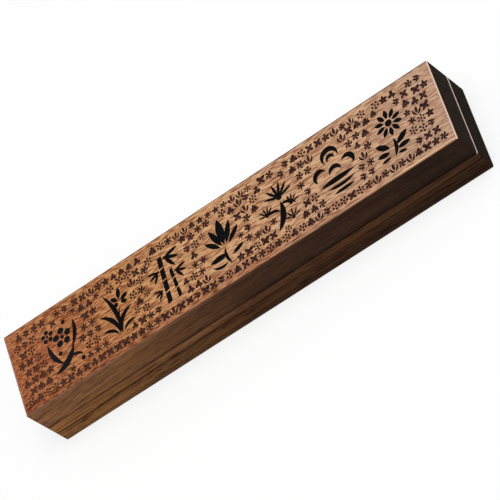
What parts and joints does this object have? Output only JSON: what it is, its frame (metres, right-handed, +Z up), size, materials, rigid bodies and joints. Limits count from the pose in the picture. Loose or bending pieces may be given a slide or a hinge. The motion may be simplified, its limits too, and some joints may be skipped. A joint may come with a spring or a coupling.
{
  "type": "incense box",
  "caption": "Long hollowed wooden box with a lift-off lid, carved and lacquered on top, that stores incense sticks lying flat.",
  "frame": {"origin": "centre of the underside of the base", "axes": "+X along the box, to the right end; +Y from the front to the back; +Z up, out of the carved top"},
  "size_m": [0.235, 0.045, 0.031],
  "materials": {
    "wood": "streaked hardwood, sanded and waxed",
    "black_lacquer": "satin black lacquer",
    "nickel": "satin nickel plating"
  },
  "bodies": {
    "base": {"base": "wood", "base_magnet_left_front": "nickel", "base_magnet_left_back": "nickel", "base_magnet_right_front": "nickel", "base_magnet_right_back": "nickel"},
    "lid": {"lid": "wood", "lid_magnet_left_front": "nickel", "lid_magnet_left_back": "nickel", "lid_magnet_right_front": "nickel", "lid_magnet_right_back": "nickel", "plum_lacquer": "black_lacquer", "orchid_lacquer": "black_lacquer", "bamboo_lacquer": "black_lacquer", "lotus_lacquer": "black_lacquer", "pine_lacquer": "black_lacquer", "cloud_lacquer": "black_lacquer", "aster_lacquer": "black_lacquer"}
  },
  "joints": [
    {"name": "lid_lift", "type": "slide", "parent": "base", "child": "lid", "axis": [0, 0, 1], "range_m": [0, 0.06]}
  ]
}
